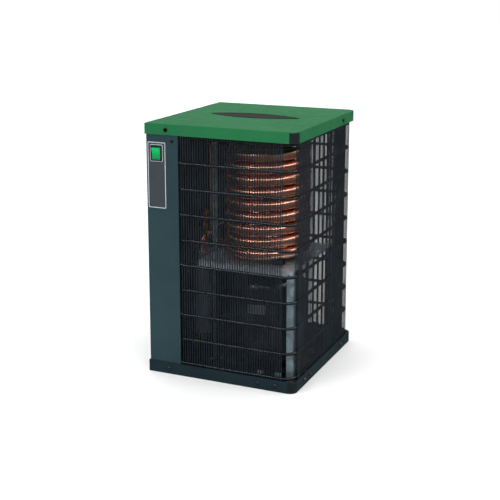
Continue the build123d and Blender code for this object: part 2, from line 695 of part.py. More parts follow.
def separator_bracket():
    """Strap from the upright post round the separator's head."""
    z0 = 212.0
    z1 = 218.0
    hoop = ring((SEP_X, SEP_Y, z0), (0, 0, 1), 21.5, 20.0 + FIT, z1 - z0)
    hoop -= block(SEP_X - 30, SEP_X + 30, SEP_Y + 10, SEP_Y + 40, z0 - 1, z1 + 1)
    left = POST_X - FRAME_SHEET - FIT
    arm = block(left - 1.5, left, SEP_Y + 8, POST_Y + 10, z0, z1)
    return hoop + arm - rod((SEP_X, SEP_Y, z0 - 1), (0, 0, 1), 20.0 + FIT, 10)


def drain_tube():
    start = (SEP_X, SEP_Y + 12, BOWL_Z0 - 11)
    z = start[2]
    points = [start, (SEP_X, -20, z), (-112, 20, 36), (-128, 90, 44), (PORT_X, 125, DRAIN_Z),
              (PORT_X, 152, DRAIN_Z)]
    return tube(route(points, [24.0, 45.0, 28.0, 14.0]), 3.2, 0.8)


def drain_fitting():
    """Barbed bulkhead stub for a quarter-inch drain hose."""
    y = PANEL_FACE
    body = hexagon((PORT_X, y, DRAIN_Z), (0, 1, 0), 14, 6)
    body += rod((PORT_X, y - 14, DRAIN_Z), (0, 1, 0), 6.0, 15)
    body += rod((PORT_X, y + 5, DRAIN_Z), (0, 1, 0), 3.2, 17)
    body += ring((PORT_X, y - SHEET - 4, DRAIN_Z), (0, 1, 0), 8.0, 5.9, 4)
    body -= rod((PORT_X, y - 15, DRAIN_Z), (0, 1, 0), 2.0, 40)
    return body - rod((PORT_X, y - 15, DRAIN_Z), (0, 1, 0), 3.2 + FIT, 6)


# ---- compressor ----
SHELL_Z0 = 15.0
SHELL_TOP = 206.0
LAP_Z = 102.0
SUCTION = (20.0, 150.0)     # x and z of the stubs at the back of the shell
DISCHARGE = (75.0, 62.0)
LINE_R = 4.76
SMALL_LINE_R = 3.175


def stub_hole(x, z, r):
    return rod((x, COMP_Y + 30, z), (0, 1, 0), r, 60)


def compressor_lower_shell():
    height = LAP_Z + 10 - SHELL_Z0
    cup = rod((COMP_X, COMP_Y, SHELL_Z0), (0, 0, 1), SHELL_R, height)
    cup = fillet(cup.faces().sort_by(Axis.Z)[0].edges(), 24.0)
    inside = rod((COMP_X, COMP_Y, SHELL_Z0 + 3), (0, 0, 1), SHELL_R - 3, height)
    inside = fillet(inside.faces().sort_by(Axis.Z)[0].edges(), 21.0)
    return cup - inside - stub_hole(DISCHARGE[0], DISCHARGE[1], SMALL_LINE_R + FIT)


def compressor_upper_shell():
    height = SHELL_TOP - LAP_Z
    cap = rod((COMP_X, COMP_Y, LAP_Z), (0, 0, 1), SHELL_R + 3, height)
    cap = fillet(cap.faces().sort_by(Axis.Z)[-1].edges(), 36.0)
    inside = rod((COMP_X, COMP_Y, LAP_Z - 1), (0, 0, 1), SHELL_R + FIT, height - 2)
    inside = fillet(inside.faces().sort_by(Axis.Z)[-1].edges(), 33.0)
    return cap - inside - stub_hole(SUCTION[0], SUCTION[1], LINE_R + FIT)


def compressor_feet():
    """Cross plate under the shell, with a hole for each grommet."""
    plate = block(COMP_X - 91, COMP_X + 91, COMP_Y - 62, COMP_Y + 62, 12, 15)
    plate = fillet(plate.edges().filter_by(Axis.Z), 12)
    for y_side in (-1, 1):
        plate -= Pos(COMP_X, COMP_Y + y_side * 66, 13) * Box(110, 24, 10)
    for x, y in GROMMET_XY:
        plate -= rod((x, y, 10), (0, 0, 1), 7.5, 8)
    return plate


def compressor_grommets():
    pieces = []
    for x, y in GROMMET_XY:
        body = ring((x, y, FRAME_SHEET), (0, 0, 1), 10.0, 3.1, 10.4)
        body += ring((x, y, FRAME_SHEET + 10), (0, 0, 1), 7.4, 3.1, 4.6)
        body += ring((x, y, 15.1), (0, 0, 1), 10.0, 3.1, 4.4)
        pieces.append(body)
    return group(pieces)


def compressor_bolts():
    pieces = []
    for x, y in GROMMET_XY:
        bolt = ring((x, y, 19.6), (0, 0, 1), 8.0, 2.0, 1.2) + hexagon((x, y, 20.8), (0, 0, 1), 10, 4.5)
        pieces.append(bolt + rod((x, y, 0.3), (0, 0, 1), 3.0, 24))
    return group(pieces)


MOTOR_Z0 = 44.0
MOTOR_Z1 = 90.0


def motor_stator():
    core = rod((COMP_X, COMP_Y, MOTOR_Z0), (0, 0, 1), 60.0, MOTOR_Z1 - MOTOR_Z0)
    coils = rod((COMP_X, COMP_Y, MOTOR_Z0 - 7), (0, 0, 1), 50.0, MOTOR_Z1 - MOTOR_Z0 + 14)
    return core + coils - rod((COMP_X, COMP_Y, 0), (0, 0, 1), 32.5, 200)


def motor_rotor():
    core = rod((COMP_X, COMP_Y, MOTOR_Z0), (0, 0, 1), 31.8, MOTOR_Z1 - MOTOR_Z0)
    return core - rod((COMP_X, COMP_Y, 0), (0, 0, 1), 9.0, 200)


def crankshaft():
    shaft = rod((COMP_X, COMP_Y, 36), (0, 0, 1), 9.0, 97)
    shaft += rod((COMP_X, COMP_Y, 132.5), (0, 0, 1), 18.0, 3)
    shaft += rod((COMP_X + CRANK_THROW, COMP_Y, 135), (0, 0, 1), 5.0, 9)
    return shaft


PISTON_Z = 150.0


def crankcase():
    """Bearing block over the motor, with the cylinder block on its right."""
    block_body = block(COMP_X - 55, COMP_X + 60, COMP_Y - 28, COMP_Y + 28, 100, 132)
    block_body += block(COMP_X + 26, COMP_X + 60, COMP_Y - 22, COMP_Y + 22, 132, 170)
    block_body -= rod((COMP_X, COMP_Y, 90), (0, 0, 1), 9.05, 60)
    for x in (-50, 50):
        for y in (-23, 23):
            block_body += rod((COMP_X + x, COMP_Y + y, MOTOR_Z1 + 0.3), (0, 0, 1), 4.0, 12)
    return block_body - rod((COMP_X + 10, COMP_Y, PISTON_Z), (1, 0, 0), 14.05, 44)


def piston():
    crown = rod((COMP_X + 30, COMP_Y, PISTON_Z), (1, 0, 0), 14.0, 22)
    crown -= rod((COMP_X + 29, COMP_Y, PISTON_Z), (1, 0, 0), 11.0, 17)
    return crown - rod((COMP_X + 38, COMP_Y - 20, PISTON_Z), (0, 1, 0), 3.5, 40)


def connecting_rod():
    """Rod from the piston's pin to an eye over the crank pin."""
    rod_body = ring((COMP_X + CRANK_THROW, COMP_Y, PISTON_Z - 4), (0, 0, 1), 9.0, 5.2, 8)
    rod_body += block(COMP_X + CRANK_THROW + 8, COMP_X + 34, COMP_Y - 3, COMP_Y + 3,
                      PISTON_Z - 4, PISTON_Z + 4)
    rod_body += rod((COMP_X + 38, COMP_Y - 8, PISTON_Z), (0, 1, 0), 6.0, 16)
    return rod_body + rod((COMP_X + 38, COMP_Y - 13.2, PISTON_Z), (0, 1, 0), 3.45, 26.4)


def terminal_cover():
    """Plastic box over the compressor's terminals, shaped to the shell."""
    cover = block(COMP_X - 98, COMP_X - 66, COMP_Y - 22, COMP_Y + 22, 42, 96)
    cover = fillet(cover.faces().sort_by(Axis.X)[0].edges(), 4.0)
    cover -= rod((COMP_X, COMP_Y, 30), (0, 0, 1), SHELL_R + 0.1, 80)
    return cover - block(COMP_X - 95.5, COMP_X - 64, COMP_Y - 19.5, COMP_Y + 19.5, 45, 93)


# ---- refrigerant lines ----
LINE_Z = FIRST_ROW_Z + (ROW_COUNT - 1) * ROW_PITCH
END_X = COND_END_X - 16.0
END_Y = COND_Y - 22.0
DRIER_X = END_X
DRIER_Y = 112.0
DRIER_Z0 = 64.0
DRIER_Z1 = 164.0


def discharge_line():
    x, z = DISCHARGE
    points = [(x, COMP_Y + 64, z), (x, 74, z), (x, 74, LINE_Z), (END_X, 74, LINE_Z), (END_X, END_Y, LINE_Z)]
    return tube(route(points, 14.0), SMALL_LINE_R, 0.7)


def suction_line():
    x, z = SUCTION
    start = (TOP_END[0] - LEAD + 5, TOP_END[1], TOP_END[2])
    points = [start, (-14, start[1], start[2]), (-14, 72, start[2]), (-14, 72, z), (x, 72, z),
              (x, COMP_Y + 64, z)]
    return tube(route(points, 12.0), LINE_R, 0.8)


def liquid_line():
    points = [(END_X, END_Y, FIRST_ROW_Z), (END_X, DRIER_Y, FIRST_ROW_Z), (END_X, DRIER_Y, DRIER_Z0 + 2)]
    return tube(route(points, 14.0), SMALL_LINE_R, 0.7)


def filter_drier():
    """Spun copper cartridge with a neck at each end."""
    body = rod((DRIER_X, DRIER_Y, DRIER_Z0 + 8), (0, 0, 1), 12.5, DRIER_Z1 - DRIER_Z0 - 16)
    body = fillet(body.edges().filter_by(GeomType.CIRCLE), 6.0)
    body += rod((DRIER_X, DRIER_Y, DRIER_Z0), (0, 0, 1), 4.4, 12)
    body += rod((DRIER_X, DRIER_Y, DRIER_Z1 - 12), (0, 0, 1), 2.6, 12)
    body -= rod((DRIER_X, DRIER_Y, DRIER_Z0 - 1), (0, 0, 1), SMALL_LINE_R + FIT, 9)
    return body - rod((DRIER_X, DRIER_Y, DRIER_Z1 - 6), (0, 0, 1), 1.1, 8)


def capillary_tube():
    """Thin tube: up from the drier, five loose turns, then across to the coil's lower end."""
    r = 15.0
    turns = 5
    pitch = 3.2
    z0 = DRIER_Z1 + 18
    loop = []
    for i in range(4 * turns):
        angle = pi / 4 + i * pi / 2
        reach = r * sqrt(2)
        loop.append((DRIER_X + reach * cos(angle), DRIER_Y - r + reach * sin(angle), z0 + pitch * i / 4))
    top = z0 + pitch * turns
    points = ([(DRIER_X, DRIER_Y, DRIER_Z1 - 5), (DRIER_X, DRIER_Y, z0 - 1)] + loop[1:]
              + [(DRIER_X + r, 70, top + 2), (-78, 40, 252), (BOTTOM_END[0], 34, 250),
                 (BOTTOM_END[0], -2, COIL_Z)])
    radii = [3.0] + [14.0] * (len(loop) - 2) + [10.0, 10.0, 12.0, 12.0]
    return tube(route(points, radii), 1.05)


VALVE = (-112.0, -2.0, 262.0)


def bypass_valve():
    """Hot-gas bypass valve: body, diaphragm can and bonnet."""
    x, y, z = VALVE
    body = hexagon((x, y, z - 14), (0, 0, 1), 22, 20)
    body += rod((x, y, z + 6), (0, 0, 1), 17.0, 10)
    body = fillet(body.faces().sort_by(Axis.Z)[-1].edges(), 3.0)
    body += rod((x, y, z + 15), (0, 0, 1), 9.0, 22)
    body += rod((x, y + 10, z - 4), (0, 1, 0), 5.0, 9)
    body += rod((x, y, z - 22), (0, 0, 1), 5.0, 9)
    body -= rod((x, y + 12, z - 4), (0, 1, 0), SMALL_LINE_R + FIT, 9)
    body -= rod((x, y, z - 23), (0, 0, 1), SMALL_LINE_R + FIT, 7)
    return body - rod((x, y, z + 20), (0, 0, 1), 4.05, 20)


def bypass_adjuster():
    """Setting screw in the bypass valve's bonnet."""
    x, y, z = VALVE
    stem = rod((x, y, z + 21), (0, 0, 1), 4.0, 22)
    slot = Pos(x, y, z + 43) * Box(10, 1.2, 3)
    return chamfer(stem.faces().sort_by(Axis.Z)[-1].edges(), 0.6) - slot


def bypass_lines():
    """Hot gas down to the valve from the discharge side, and on to the evaporator."""
    x, y, z = VALVE
    tee_y = 86.0
    feed = [(END_X, tee_y, LINE_Z - SMALL_LINE_R - 0.1), (END_X, tee_y, z - 4), (x, tee_y, z - 4),
            (x, y + 13, z - 4)]
    low = 212.0
    joint_x = BOTTOM_END[0] - EVAPORATOR_R - 0.1
    out = [(x, y, z - 17), (x, y, low), (-68, y, low), (-68, y, COIL_Z), (joint_x, y, COIL_Z)]
    return group([tube(route(feed, [7.0, 7.0]), SMALL_LINE_R, 0.7),
                  tube(route(out, [14.0, 14.0, 14.0]), SMALL_LINE_R, 0.7)])


def wiring_harness():
    """Lead from the switch down the side panel to the compressor's terminals."""
    points = [(SWITCH_X, -127, SWITCH_Z), (SWITCH_X, -112, SWITCH_Z - 6), (-145, -100, 400),
              (-145, -96, 120), (-112, -48, 40), (-86, COMP_Y, 60), (COMP_X - 98.3, COMP_Y, 60)]
    return tube(route(points, [8.0, 12.0, 40.0, 16.0, 12.0]), 3.5)


def build_parts():
    """Every sub-part by name."""
    builders = [base_pan, corner_guards, lid, lid_badge, control_panel, label_plate, side_panel, rear_panel,
                power_switch_body, power_rocker, power_gland, lid_screws, base_screws, panel_screws,
                condenser_clips, condenser_tube, condenser_wires, shelf, shelf_legs, upright_post,
                frame_screws, exchanger_coil, evaporator_tube, exchanger_tees, coil_supports,
                air_inlet_pipe, air_transfer_pipe, air_outlet_pipe, air_inlet_fitting, air_outlet_fitting,
                fitting_locknuts, separator_head,
                separator_bowl, drain_float, drain_valve_body, drain_knob, separator_bracket, drain_tube,
                drain_fitting, compressor_lower_shell, compressor_upper_shell, compressor_feet,
                compressor_grommets, compressor_bolts, motor_stator, motor_rotor, crankshaft, crankcase,
                piston, connecting_rod, terminal_cover, discharge_line, suction_line, liquid_line,
                filter_drier, capillary_tube, bypass_valve, bypass_adjuster, bypass_lines, wiring_harness]
    return {builder.__name__: builder() for builder in builders}


os.makedirs("parts", exist_ok=True)
for name, shape in build_parts().items():
    export_step(shape, f"parts/{name}.step")
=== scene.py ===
import json
import math
import random

import bmesh
import bpy
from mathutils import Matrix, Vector

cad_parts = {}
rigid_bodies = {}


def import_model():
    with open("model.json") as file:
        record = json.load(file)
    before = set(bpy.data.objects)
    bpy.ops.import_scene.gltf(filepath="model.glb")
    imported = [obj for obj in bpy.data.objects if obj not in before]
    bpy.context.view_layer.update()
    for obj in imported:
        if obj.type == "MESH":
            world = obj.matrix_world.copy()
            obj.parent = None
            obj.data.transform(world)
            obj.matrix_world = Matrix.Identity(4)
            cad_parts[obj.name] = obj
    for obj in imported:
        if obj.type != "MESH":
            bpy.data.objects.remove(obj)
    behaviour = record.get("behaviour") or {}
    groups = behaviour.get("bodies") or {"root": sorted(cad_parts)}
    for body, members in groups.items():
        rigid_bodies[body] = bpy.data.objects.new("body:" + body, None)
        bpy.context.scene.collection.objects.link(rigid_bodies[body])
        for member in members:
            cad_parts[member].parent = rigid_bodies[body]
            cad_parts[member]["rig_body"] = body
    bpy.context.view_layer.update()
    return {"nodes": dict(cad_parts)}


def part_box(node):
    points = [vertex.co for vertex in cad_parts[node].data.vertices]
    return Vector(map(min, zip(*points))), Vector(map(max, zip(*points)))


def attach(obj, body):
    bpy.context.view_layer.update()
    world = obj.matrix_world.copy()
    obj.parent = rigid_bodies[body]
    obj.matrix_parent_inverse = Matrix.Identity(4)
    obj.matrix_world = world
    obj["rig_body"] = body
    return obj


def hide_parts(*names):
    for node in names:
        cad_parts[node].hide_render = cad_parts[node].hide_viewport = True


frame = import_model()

NODES = frame["nodes"]
scene = bpy.context.scene
scene.view_settings.view_transform = "Standard"


# ---------- small helpers ----------
def srgb(r, g, b):
    """0-255 display colour as linear RGBA."""
    def channel(v):
        v = v / 255.0
        return v / 12.92 if v <= 0.04045 else ((v + 0.055) / 1.055) ** 2.4
    return (channel(r), channel(g), channel(b), 1.0)


def size(node):
    """A CAD node's box as two vectors."""
    low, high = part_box(node)
    return Vector(low), Vector(high)


def node_body(name):
    return NODES[name]["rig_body"]


# ---------- materials ----------
class Finish:
    """A node material under construction, with object coordinates ready."""

    def __init__(self, name, **sockets):
        self.material = bpy.data.materials.new(name)
        self.material.use_nodes = True
        self.tree = self.material.node_tree
        self.shader = self.tree.nodes["Principled BSDF"]
        self.coords = self.add("ShaderNodeTexCoord").outputs["Object"]
        for key, value in sockets.items():
            self.shader.inputs[key.replace("_", " ")].default_value = value

    def add(self, kind, inputs=None, **props):
        node = self.tree.nodes.new(kind)
        for key, value in props.items():
            setattr(node, key, value)
        for key, value in (inputs or {}).items():
            self.feed(node.inputs[key], value)
        return node

    def feed(self, socket, value):
        if isinstance(value, bpy.types.NodeSocket):
            self.tree.links.new(value, socket)
        else:
            socket.default_value = value

    def stretch(self, x, y, z):
        """Object coordinates scaled along each axis, for a pattern with a direction."""
        return self.add("ShaderNodeMapping", {"Vector": self.coords, "Scale": (x, y, z)}).outputs[0]

    def noise(self, scale, detail=3.0, coords=None, rough=0.55, distortion=0.0):
        return self.add("ShaderNodeTexNoise", {
            "Vector": coords or self.coords, "Scale": scale, "Detail": detail,
            "Roughness": rough, "Distortion": distortion}).outputs["Fac"]

    def cells(self, scale, coords):
        return self.add("ShaderNodeTexVoronoi", {"Vector": coords, "Scale": scale}).outputs["Color"]

    def spread(self, value, low, high, start=0.3, end=0.7):
        """Maps start..end, by default the middle of a noise's range, to low..high."""
        return self.add("ShaderNodeMapRange", {
            "Value": value, "From Min": start, "From Max": end, "To Min": low, "To Max": high}).outputs[0]

    def blend(self, factor, first, second):
        """A colour mix; a Mix node's colour sockets are 6 and 7, and its colour output is 2."""
        node = self.add("ShaderNodeMix", {0: factor, 6: first, 7: second}, data_type="RGBA")
        return node.outputs[2]

    def shade(self, color, brightness):
        return self.add("ShaderNodeHueSaturation", {"Color": color, "Value": brightness}).outputs[0]

    def arithmetic(self, operation, a, b):
        return self.add("ShaderNodeMath", {0: a, 1: b}, operation=operation).outputs[0]

    def relief(self, height, distance, under=None):
        """A bump of height times distance metres, on top of another bump if one is given."""
        inputs = {"Height": height, "Distance": distance}
        if under is not None:
            inputs["Normal"] = under
        return self.add("ShaderNodeBump", inputs).outputs[0]

    def done(self, color, rough, normal):
        for key, value in (("Base Color", color), ("Roughness", rough), ("Normal", normal)):
            self.feed(self.shader.inputs[key], value)
        return self.material


def powder_coat(name, dark, light, rough, grain, peel=0.00003, coat=0.0):
    """Baked paint: faint cloudiness, orange peel and a few rubbed places."""
    f = Finish(name, Coat_Weight=coat, Coat_Roughness=0.22, Specular_IOR_Level=0.08)
    cloud = f.spread(f.noise(scale=9.0, detail=4.0), low=0.0, high=1.0)
    rubbed = f.spread(f.noise(scale=38.0, detail=6.0, rough=0.7), low=0.0, high=1.0, start=0.6, end=0.78)
    fine = f.noise(grain, detail=2.0)
    finer = f.noise(grain * 3.1, detail=1.0)
    normal = f.relief(finer, peel * 0.35, under=f.relief(fine, peel))
    base = f.shade(f.blend(cloud, dark, light), f.spread(fine, low=0.95, high=1.05))
    uneven = f.spread(f.noise(scale=60.0), low=rough - 0.05, high=rough + 0.06)
    smoother = f.arithmetic("MULTIPLY", rubbed, 0.08)
    return f.done(base, f.arithmetic("SUBTRACT", uneven, smoother), normal)


def enamel(name, dark, light, rough, level=0.5, coat=0.0):
    """Dipped black enamel: thin highlights, dust and small runs along the wires."""
    f = Finish(name, Coat_Weight=coat, Coat_Roughness=0.12, Specular_IOR_Level=level)
    runs = f.noise(scale=160.0, coords=f.stretch(1.0, 1.0, 0.12))
    dust = f.spread(f.noise(scale=22.0, detail=5.0, rough=0.65), low=0.0, high=1.0, start=0.45, end=0.8)
    return f.done(f.blend(dust, dark, light), f.spread(runs, low=rough - 0.05, high=rough + 0.07),
                  f.relief(runs, 0.00012))


def bare_metal(name, dark, light, rough, grain, stretch=(1.0, 1.0, 1.0), depth=0.00002):
    """Machined or drawn metal with fine grain and light staining."""
    f = Finish(name, Metallic=1.0)
    lines = f.noise(grain, coords=f.stretch(*stretch))
    stain = f.spread(f.noise(scale=31.0, detail=5.0, rough=0.62), low=0.0, high=1.0, start=0.35, end=0.72)
    return f.done(f.blend(stain, light, dark), f.spread(lines, low=rough - 0.08, high=rough + 0.12),
                  f.relief(lines, depth))


def copper(name, rough, wound=0.0):
    """Drawn copper tube with soft tarnish clouds; wound stretches its highlights round the Z axis."""
    f = Finish(name, Metallic=1.0, Anisotropic=wound)
    if wound:
        turning = f.add("ShaderNodeTangent", direction_type="RADIAL", axis="Z").outputs[0]
        f.feed(f.shader.inputs["Tangent"], turning)
    tarnish = f.spread(f.noise(scale=15.0, rough=0.5, distortion=0.4), low=0.0, high=0.8, start=0.4, end=0.75)
    spots = f.spread(f.noise(scale=120.0, detail=4.0), low=0.0, high=0.35, start=0.6, end=0.78)
    base = f.blend(tarnish, srgb(240, 180, 156), srgb(216, 148, 122))
    base = f.blend(spots, base, srgb(168, 102, 82))
    return f.done(base, f.spread(f.noise(scale=40.0), low=rough - 0.03, high=rough + 0.04),
                  f.relief(f.noise(scale=260.0, detail=2.0), 0.000002))


def galvanised(name, dark, light, metal=0.35):
    """Zinc-coated sheet with its crystal spangle."""
    f = Finish(name, Metallic=metal)
    warp = f.add("ShaderNodeTexNoise", {"Vector": f.coords, "Scale": 60.0}).outputs["Color"]
    moved = f.add("ShaderNodeVectorMath", {0: warp, 1: (0.012, 0.012, 0.012), 2: f.coords},
                  operation="MULTIPLY_ADD").outputs[0]
    grey = f.add("ShaderNodeSeparateColor", {"Color": f.cells(110.0, moved)}).outputs[0]
    stain = f.spread(f.noise(scale=24.0, detail=5.0), low=0.0, high=0.45, start=0.5, end=0.78)
    base = f.blend(stain, f.blend(grey, dark, light), dark)
    return f.done(base, f.spread(grey, low=0.32, high=0.5, start=0.0, end=1.0), f.relief(grey, 0.00002))


def moulded(name, dark, light, rough, grain=1400.0, depth=0.00004, level=0.3):
    """Moulded plastic or rubber with a fine spark-eroded grain; printed ink has the same, finer."""
    f = Finish(name, Specular_IOR_Level=level)
    skin = f.noise(grain, detail=2.0)
    tone = f.spread(f.noise(scale=45.0, detail=4.0), low=0.0, high=1.0)
    return f.done(f.blend(tone, dark, light), f.spread(skin, low=rough - 0.05, high=rough + 0.08),
                  f.relief(skin, depth))


def label_film(name):
    """Printed film: dark grey, mottled, slightly satin."""
    f = Finish(name, Specular_IOR_Level=0.25)
    fleck = f.spread(f.noise(scale=900.0), low=0.0, high=1.0, start=0.4, end=0.62)
    base = f.blend(fleck, srgb(47, 54, 61), srgb(59, 67, 73))
    return f.done(base, f.spread(f.noise(scale=70.0), low=0.42, high=0.55),
                  f.relief(f.noise(scale=500.0), 0.00002))


def lit_plastic(name):
    """The lit green key: it glows from its own lamp, and painted shading makes it brighter towards its top.
    """
    f = Finish(name, Coat_Weight=0.15, Coat_Roughness=0.08, Specular_IOR_Level=0.3, Emission_Strength=0.18)
    height = f.add("ShaderNodeSeparateXYZ", {"Vector": f.coords}).outputs["Z"]
    low, high = size("power_rocker")
    # painted shading: the key's colour and glow run from darker at its bottom to lighter at its top
    painted_shading_ramp = f.spread(height, low=0.0, high=1.0, start=low.z, end=high.z)
    base = f.shade(f.blend(painted_shading_ramp, srgb(0, 112, 60), srgb(0, 172, 90)),
                   f.spread(f.noise(scale=260.0), low=0.94, high=1.06))
    f.feed(f.shader.inputs["Emission Color"], base)
    return f.done(base, f.spread(f.noise(scale=300.0), low=0.18, high=0.3),
                  f.relief(f.noise(scale=700.0), 0.00002))


def laminated(name):
    """A stack of punched steel sheets."""
    f = Finish(name, Metallic=0.9)
    sheets = f.add("ShaderNodeTexWave", {"Vector": f.coords, "Scale": 320.0, "Distortion": 0.4},
                   bands_direction="Z").outputs["Fac"]
    base = f.blend(sheets, srgb(78, 82, 88), srgb(142, 146, 150))
    return f.done(base, f.spread(f.noise(scale=90.0), low=0.35, high=0.55), f.relief(sheets, 0.00008))


# one finish for each of the record's slots
FINISHES = {
    "green_paint": powder_coat("green_powder_coat", srgb(29, 98, 59), srgb(36, 106, 65), rough=0.55,
                               grain=620.0),
    "slate_paint": powder_coat("slate_powder_coat", srgb(36, 56, 62), srgb(43, 64, 68), rough=0.5,
                               grain=700.0),
    "condenser_black": enamel("condenser_enamel", srgb(27, 34, 40), srgb(42, 50, 57), rough=0.16),
    "compressor_black": enamel("compressor_enamel", srgb(24, 28, 32), srgb(38, 43, 48), rough=0.17, coat=0.1),
    # painted shade: the slot's zinc is a darker, bluer copy, for the legs and post that stand in shade
    "galvanised": galvanised("galvanised_sheet", srgb(104, 124, 132), srgb(140, 162, 169)),
    "zinc_screw": bare_metal("zinc_plate", srgb(94, 98, 104), srgb(168, 172, 176), rough=0.32, grain=500.0),
    "black_plastic": moulded("black_nylon", srgb(17, 22, 25), srgb(27, 33, 37), rough=0.46),
    "badge_black": moulded("badge_satin_black", srgb(5, 6, 6), srgb(10, 11, 12), rough=0.5, grain=900.0,
                           depth=0.00002, level=0.1),
    "label_film": label_film("label_print"),
    "rocker_green": lit_plastic("green_lens"),
    "copper": copper("drawn_copper", rough=0.2),
    "brass": bare_metal("turned_brass", srgb(150, 112, 58), srgb(206, 168, 98), rough=0.28, grain=380.0,
                        stretch=(1.0, 4.0, 1.0)),
    "aluminium": bare_metal("cast_aluminium", srgb(132, 136, 140), srgb(184, 187, 190), rough=0.42,
                            grain=260.0, depth=0.00008),
    "bowl_coat": powder_coat("bowl_lacquer", srgb(70, 76, 84), srgb(96, 102, 110), rough=0.36, grain=500.0,
                             coat=0.2),
    "rubber": moulded("black_rubber", srgb(20, 20, 21), srgb(32, 32, 33), rough=0.72, grain=900.0,
                      depth=0.00008),
    "float_plastic": moulded("float_nylon", srgb(206, 200, 184), srgb(226, 222, 208), rough=0.45),
    "cast_iron": bare_metal("machined_iron", srgb(70, 72, 76), srgb(118, 120, 124), rough=0.42, grain=200.0,
                            depth=0.0001),
    "lamination": laminated("stator_steel"),
    # variants of a slot's finish, for single pieces
    "black_oxide": bare_metal("black_zinc", srgb(24, 22, 22), srgb(58, 52, 50), rough=0.36, grain=500.0),
    "tube_enamel": enamel("tube_enamel", srgb(9, 12, 15), srgb(18, 23, 27), rough=0.13, level=0.4),
    "coil_copper": copper("coiled_copper", rough=0.24, wound=0.95),
    # painted light: a lighter copy of the same zinc for the shelf, whose top catches the light
    "painted_lit_zinc": galvanised("painted_lit_galvanised_sheet", srgb(190, 206, 216), srgb(222, 236, 244),
                              metal=0.75),
    "base_paint": powder_coat("base_powder_coat", srgb(23, 37, 43), srgb(29, 44, 49), rough=0.5, grain=700.0),
    "dark_zinc": bare_metal("dark_zinc", srgb(52, 56, 60), srgb(104, 108, 112), rough=0.3, grain=500.0),
    "silver_line": moulded("silver_ink", srgb(176, 181, 186), srgb(196, 200, 204), rough=0.4, grain=700.0,
                           depth=0.00001),
}


def slot_of(node):
    """The record's slot, which is the name of the material that the node comes with."""
    return NODES[node].data.materials[0].name.split(".")[0]


SLOTS = {name: slot_of(name) for name in NODES}
for node_name, obj in NODES.items():
    obj.data.materials[0] = FINISHES[SLOTS[node_name]]
for node_name, finish_name in (("lid_screws", "black_oxide"), ("panel_screws", "black_oxide"),
                               ("base_screws", "dark_zinc")):
    NODES[node_name].data.materials[0] = FINISHES[finish_name]


# ---------- pieces ----------
def place(obj, slot, body="cabinet", node=None, finish=None):
    """Gives a new piece its finish and makes it ride on a body."""
    obj.data.materials.clear()
    obj.data.materials.append(FINISHES[finish or slot])
    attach(obj, body)
    if node:
        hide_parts(node)
    return obj


def mesh_object(name, bm, smooth_angle=35.0):
    """A linked object from a bmesh, shaded smooth below an angle."""
    mesh = bpy.data.meshes.new(name)
    bm.normal_update()
    for face in bm.faces:
        face.smooth = True
    for edge in bm.edges:
        if len(edge.link_faces) != 2 or edge.calc_face_angle(0.0) > math.radians(smooth_angle):
            edge.smooth = False
    bm.to_mesh(mesh)
    bm.free()
    obj = bpy.data.objects.new(name, mesh)
    scene.collection.objects.link(obj)
    return obj


def bake_modifiers(obj):
    """Replaces a piece's mesh with its evaluated one."""
    bpy.context.view_layer.update()
    graph = bpy.context.evaluated_depsgraph_get()
    mesh = bpy.data.meshes.new_from_object(obj.evaluated_get(graph))
    obj.modifiers.clear()
    obj.data = mesh


MERGE_DISTANCE = 1e-6
FLAT_ANGLE = 0.6            # degrees between facets that are one face
EDGE_ANGLE = 28.0           # degrees from which an edge is rounded


def refined(node, name, width, finish=None):
    """A CAD node's shape with its facets merged and its edges rounded to a width."""
    bm = bmesh.new()
    bm.from_mesh(NODES[node].data)
    bmesh.ops.remove_doubles(bm, verts=bm.verts, dist=MERGE_DISTANCE)
    bmesh.ops.dissolve_limit(bm, angle_limit=math.radians(FLAT_ANGLE), verts=bm.verts, edges=bm.edges)
    obj = mesh_object(name, bm, EDGE_ANGLE)
    bevel = obj.modifiers.new("round", "BEVEL")
    bevel.width = width
    bevel.segments = 3
    bevel.limit_method = "ANGLE"
    bevel.angle_limit = math.radians(EDGE_ANGLE)
    bevel.use_clamp_overlap = True
    bevel.harden_normals = True
    bake_modifiers(obj)
    return place(obj, SLOTS[node], node_body(node), node, finish)


for node_name, piece_name, round_width, finish_name in (
        ("lid", "lid_shell", 0.0005, None), ("base_pan", "base_tray", 0.0005, "base_paint"),
        ("control_panel", "control_face", 0.0004, None), ("rear_panel", "rear_face", 0.0004, None),
        ("side_panel", "left_face", 0.0004, None), ("shelf", "shelf_sheet", 0.0004, "painted_lit_zinc"),
        ("shelf_legs", "shelf_angle_legs", 0.0004, None), ("upright_post", "post_section", 0.0004, None),
        ("corner_guards", "corner_pieces", 0.0005, None),
        ("power_switch_body", "switch_housing", 0.0003, None),
        ("power_rocker", "rocker_key", 0.0004, None), ("terminal_cover", "terminal_lid", 0.0012, None)):
    refined(node_name, piece_name, round_width, finish_name)


# ---------- swept tubes ----------
def strip(bm, first, second):
    """Quads between two closed loops with the same number of vertices."""
    count = len(first)
    for k in range(count):
        n = (k + 1) % count
        bm.faces.new((first[k], first[n], second[n], second[k]))


def cap_ends(bm, rings):
    bm.faces.new(list(reversed(rings[0])))
    bm.faces.new(rings[-1])


def sweep(bm, points, radius, sides):
    """Adds a capped round bar along points to a bmesh, with its frame carried along without twist."""
    count = len(points)
    tangents = [(points[min(i + 1, count - 1)] - points[max(i - 1, 0)]).normalized() for i in range(count)]
    side = tangents[0].orthogonal().normalized()
    rings = []
    for point, tangent in zip(points, tangents):
        side = (side - tangent * side.dot(tangent)).normalized()
        other = tangent.cross(side)
        rings.append([bm.verts.new(point + (side * math.cos(a) + other * math.sin(a)) * radius)
                      for a in (2 * math.pi * k / sides for k in range(sides))])
    for low, high in zip(rings, rings[1:]):
        strip(bm, low, high)
    cap_ends(bm, rings)


def arc(centre, first, second, steps):
    """Points of a quarter turn from centre + first to centre + second."""
    return [centre + first * math.cos(t) + second * math.sin(t)
            for t in (math.pi / 2 * i / steps for i in range(steps + 1))]


